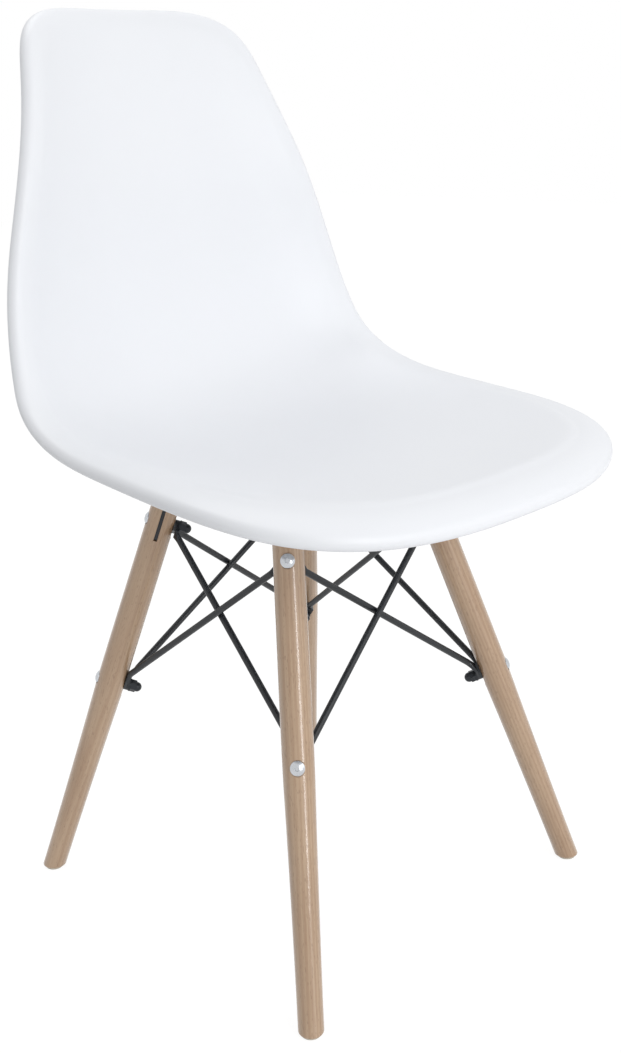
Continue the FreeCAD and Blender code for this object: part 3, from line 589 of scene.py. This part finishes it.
def even_skin(name, colour, roughness, metallic, peel, depth):
    # One build for coated and plated steel, brass, rubber and nylon, which are even but for small
    # things: the tone and gloss drift a little, and the skin has the orange peel or grain given by
    # its size and depth in millimetres
    finish, tree = new_finish(name)
    place = put(tree, "ShaderNodeTexCoord").outputs["Object"]
    skin = put(tree, "ShaderNodeTexNoise", {
        "Vector": place, "Scale": 1 / (peel * MM), "Detail": 3.0, "Roughness": 0.55})
    drift = put(tree, "ShaderNodeTexNoise", {
        "Vector": place, "Scale": 1 / (14 * MM), "Detail": 3.0})
    tone = put(tree, "ShaderNodeMix", {
        "Factor": drift.outputs["Fac"],
        "A": opaque([c * 0.86 for c in colour]),
        "B": opaque([min(1.0, c * 1.10) for c in colour]),
    }, data_type="RGBA")
    gloss = put(tree, "ShaderNodeMapRange", {
        "Value": drift.outputs["Fac"], "From Min": 0.3, "From Max": 0.7,
        "To Min": roughness - 0.05, "To Max": roughness + 0.05})
    bump = put(tree, "ShaderNodeBump", {
        "Height": skin.outputs["Fac"], "Strength": 0.5, "Distance": depth * MM})
    metal = put(tree, "ShaderNodeBsdfPrincipled", {
        "Base Color": tone.outputs["Result"], "Roughness": gloss.outputs["Result"],
        "Metallic": metallic, "Normal": bump.outputs["Normal"]})
    put(tree, "ShaderNodeOutputMaterial", {"Surface": metal.outputs["BSDF"]})
    return finish


# Operators

class CHAIR_OT_seat_shell(bpy.types.Operator):
    """Mould the seat and back with their rolled rim"""

    bl_idname = "shell_chair.seat_shell"
    bl_label = "Seat Shell"

    def execute(self, context):
        settings = context.scene.chair_shell
        edge = edge_rows(settings)
        columns, count = edge.shape[:2]
        points = [edge.reshape(-1, 3)]
        faces = grid_faces(columns, count, closed=True)
        half = settings.wall / MM / 2
        start = columns * count
        for offset in (half, -half):
            panel = panel_rows(settings, offset)
            points.append(panel.reshape(-1, 3))
            faces += grid_faces(*panel.shape[:2], start=start)
            start += panel.shape[0] * panel.shape[1]
        way = np.array(LEG_TOP[:2]) / math.hypot(*LEG_TOP[:2]) * MOUNT_RADIUS
        for sx, sy in CORNERS.values():
            x, y = sx * way[0], BASE_Y + sy * way[1]
            boss = boss_rows(settings, x, y)
            points.append(boss.reshape(-1, 3))
            faces += grid_faces(*boss.shape[:2], start=start, closed=True)
            start += boss.shape[0] * boss.shape[1]
            for along_x in (True, False):
                rib = rib_rows(settings, x, y, along_x)
                sections, count = rib.shape[:2]
                points.append(rib.reshape(-1, 3))
                faces += grid_faces(sections, count, start=start)
                last = start + (sections - 1) * count
                faces += [tuple(range(start, start + count)), tuple(range(last, last + count))]
                start += sections * count
        piece = build_piece("seat_shell_moulding", np.concatenate(points), faces, merge=WELD_GAP)
        dress(piece, moulded_polypropylene(settings))
        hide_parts("seat_shell")
        return {"FINISHED"}


class CHAIR_OT_legs(bpy.types.Operator):
    """Lacquer the four beech legs, each with the grain along its own length"""

    bl_idname = "shell_chair.legs"
    bl_label = "Beech Legs"

    def execute(self, context):
        settings = context.scene.chair_base
        for turn, (corner, (sx, sy)) in enumerate(CORNERS.items()):
            foot, top = (
                Vector((sx * x, BASE_Y + sy * y, z)) * MM for x, y, z in (LEG_FOOT, LEG_TOP))
            finish = lacquered_beech(settings, corner.replace("_", " "), foot, top, GRAIN_TURN * turn)
            coat(["leg_" + corner], finish)
        return {"FINISHED"}


class CHAIR_OT_steelwork(bpy.types.Operator):
    """Coat the crossed rods and the cross bars"""

    bl_idname = "shell_chair.steelwork"
    bl_label = "Rods and Bars"

    def execute(self, context):
        settings = context.scene.chair_base
        # Steel with a satin black powder coat: deep, slightly blue black, soft broad highlights
        # and orange peel about 1 mm across
        finish = even_skin("Powder coat, satin black", settings.powder_coat,
                           roughness=0.42, metallic=0.0, peel=1.0, depth=0.03)
        coat([n for n in NODES if n.startswith(("rod_", "crossbar_"))], finish)
        return {"FINISHED"}


class CHAIR_OT_fasteners(bpy.types.Operator):
    """Plate the bolts, nuts, washers and screws"""

    bl_idname = "shell_chair.fasteners"
    bl_label = "Bolts and Nuts"

    def execute(self, context):
        settings = context.scene.chair_base
        # Bright zinc plate: pale bluish grey metal with soft reflections
        bright = even_skin("Zinc plate, bright", settings.bright_zinc,
                           roughness=0.28, metallic=1.0, peel=0.5, depth=0.01)
        coat(["upper_leg_bolts", "lower_leg_bolts", "seat_screws", "seat_screw_washers",
              "glide_nails"], bright)
        # Black zinc plate: thin, so the metal still glints through
        black = even_skin("Zinc plate, black", settings.black_zinc,
                          roughness=0.40, metallic=0.55, peel=0.6, depth=0.01)
        coat(["upper_leg_nuts", "upper_leg_washers", "lower_leg_nuts", "lower_leg_washers",
              "centre_bolt", "centre_washer", "centre_nut"], black)
        return {"FINISHED"}


class CHAIR_OT_soft_parts(bpy.types.Operator):
    """Finish the rubber pads, the brass inserts and the nylon glides"""

    bl_idname = "shell_chair.soft_parts"
    bl_label = "Pads, Inserts and Glides"

    def execute(self, context):
        settings = context.scene.chair_base
        # Moulded rubber: dull, nearly black, with a bloom
        coat(["rubber_pads"], even_skin(
            "Rubber, moulded", settings.rubber,
            roughness=0.78, metallic=0.0, peel=0.7, depth=0.05))
        # Turned brass: warm yellow metal
        coat(["threaded_inserts"], even_skin(
            "Brass, turned", settings.brass,
            roughness=0.30, metallic=1.0, peel=0.5, depth=0.02))
        # Natural nylon: milky, waxy, a little yellow
        coat(["foot_glides"], even_skin(
            "Nylon, moulded", settings.nylon,
            roughness=0.45, metallic=0.0, peel=0.9, depth=0.02))
        return {"FINISHED"}


class CHAIR_OT_stage(bpy.types.Operator):
    """Lay the white floor, hang the lamps and set the camera"""

    bl_idname = "shell_chair.stage"
    bl_label = "Stage"

    def execute(self, context):
        settings = context.scene.chair_stage
        scene = context.scene
        self.lay_floor(settings)
        self.light_sky(scene, settings)
        self.hang_lamp("Tall lamp", settings.tall_lamp, *TALL_LAMP)
        self.hang_lamp("Top lamp", settings.top_lamp, *TOP_LAMP)
        self.hang_lamp("Front lamp", settings.front_lamp, *FRONT_LAMP)
        self.set_camera(scene)
        scene.view_settings.view_transform = "Standard"
        return {"FINISHED"}

    @staticmethod
    def seen_rays(tree):
        """1 for rays that show the background: seen directly, in a reflection or through glass."""
        path = put(tree, "ShaderNodeLightPath").outputs
        shown = put(tree, "ShaderNodeMath", {
            0: path["Is Camera Ray"], 1: path["Is Glossy Ray"]}, operation="MAXIMUM")
        shown = put(tree, "ShaderNodeMath", {
            0: shown.outputs[0], 1: path["Is Transmission Ray"]}, operation="MAXIMUM")
        return shown.outputs[0]

    def lay_floor(self, settings):
        half = settings.floor_size / MM / 2
        side = np.linspace(-half, half, FLOOR_STEPS)
        points = [(x, y, 0.0) for x in side for y in side]
        floor = build_piece("floor", points, grid_faces(FLOOR_STEPS, FLOOR_STEPS))
        finish, tree = new_finish("Studio floor, painted white")
        # Matt white paint that throws light back up at the chair. Where it is seen it glows almost
        # to plain white, so that only a faint shade of the chair stays on it
        paint = put(tree, "ShaderNodeBsdfDiffuse", {"Color": opaque(linear("#E6E6E6"))})
        seen_paint = put(tree, "ShaderNodeBsdfDiffuse", {"Color": opaque(linear("#7A7A7A"))})
        glow = put(tree, "ShaderNodeEmission", {"Color": (1, 1, 1, 1), "Strength": FLOOR_GLOW})
        seen = put(tree, "ShaderNodeAddShader", {
            0: seen_paint.outputs["BSDF"], 1: glow.outputs["Emission"]})
        both = put(tree, "ShaderNodeMixShader", {
            0: self.seen_rays(tree), 1: paint.outputs["BSDF"], 2: seen.outputs["Shader"]})
        put(tree, "ShaderNodeOutputMaterial", {"Surface": both.outputs["Shader"]})
        floor.data.materials.append(finish)

    def light_sky(self, scene, settings):
        world = bpy.data.worlds.new("Studio")
        scene.world = world
        world.use_nodes = True
        tree = world.node_tree
        tree.nodes.clear()
        level = put(tree, "ShaderNodeMix", {
            "Factor": self.seen_rays(tree), "A": settings.sky, "B": 1.0}, data_type="FLOAT")
        sky = put(tree, "ShaderNodeBackground", {
            "Color": (1, 1, 1, 1), "Strength": level.outputs["Result"]})
        put(tree, "ShaderNodeOutputWorld", {"Surface": sky.outputs["Background"]})

    @staticmethod
    def hang_lamp(name, power, size, place):
        lamp = bpy.data.lights.new(name, "AREA")
        lamp.energy = power
        lamp.shape = "RECTANGLE"
        lamp.size, lamp.size_y = size
        holder = bpy.data.objects.new(name, lamp)
        holder.location = place
        aim = Vector(LAMP_AIM) - holder.location
        holder.rotation_euler = aim.to_track_quat("-Z", "Y").to_euler()
        bpy.context.scene.collection.objects.link(holder)

    @staticmethod
    def set_camera(scene):
        lens = bpy.data.cameras.new("Camera")
        holder = bpy.data.objects.new("Camera", lens)
        scene.collection.objects.link(holder)
        right = Vector(CAMERA_RIGHT).normalized()
        ahead = Vector(CAMERA_AHEAD).normalized()
        up = right.cross(ahead)
        turn = Matrix((right, up, -ahead)).transposed()
        holder.matrix_world = Matrix.Translation(CAMERA_PLACE) @ turn.to_4x4()
        width, height = FRAME_PIXELS
        centre_x, centre_y = CENTRE_PIXELS
        lens.sensor_width = SENSOR_WIDTH
        lens.lens = FOCAL_PIXELS / height * lens.sensor_width
        lens.shift_x = (width / 2 - centre_x) / height
        lens.shift_y = (centre_y - height / 2) / height
        lens.clip_start = 0.05
        lens.clip_end = 60.0
        scene.camera = holder


class CHAIR_PT_sidebar(bpy.types.Panel):
    """Sizes, colours and steps of the chair"""

    bl_idname = "CHAIR_PT_sidebar"
    bl_label = "Shell Chair"
    bl_space_type = "VIEW_3D"
    bl_region_type = "UI"
    bl_category = "Shell Chair"

    def draw(self, context):
        scene = context.scene
        groups = (
            ("Seat shell", scene.chair_shell, PIECES[:1]),
            ("Base", scene.chair_base, PIECES[1:-1]),
            ("Stage", scene.chair_stage, PIECES[-1:]),
        )
        for title, settings, operators in groups:
            box = self.layout.box()
            box.label(text=title)
            for name in settings.bl_rna.properties.keys():
                if name not in ("rna_type", "name"):
                    box.prop(settings, name)
            for operator in operators:
                box.operator(operator.bl_idname)


SETTINGS = {
    "chair_shell": SeatShellSettings,
    "chair_base": BaseSettings,
    "chair_stage": StageSettings,
}
PIECES = (
    CHAIR_OT_seat_shell,
    CHAIR_OT_legs,
    CHAIR_OT_steelwork,
    CHAIR_OT_fasteners,
    CHAIR_OT_soft_parts,
    CHAIR_OT_stage,
)


def register():
    for group in (*SETTINGS.values(), *PIECES, CHAIR_PT_sidebar):
        bpy.utils.register_class(group)
    for name, group in SETTINGS.items():
        setattr(bpy.types.Scene, name, PointerProperty(type=group))


def unregister():
    for name in SETTINGS:
        delattr(bpy.types.Scene, name)
    for group in reversed((*SETTINGS.values(), *PIECES, CHAIR_PT_sidebar)):
        bpy.utils.unregister_class(group)


def main():
    register()
    for operator in PIECES:
        package, name = operator.bl_idname.split(".")
        getattr(getattr(bpy.ops, package), name)()


if __name__ == "__main__":
    main()
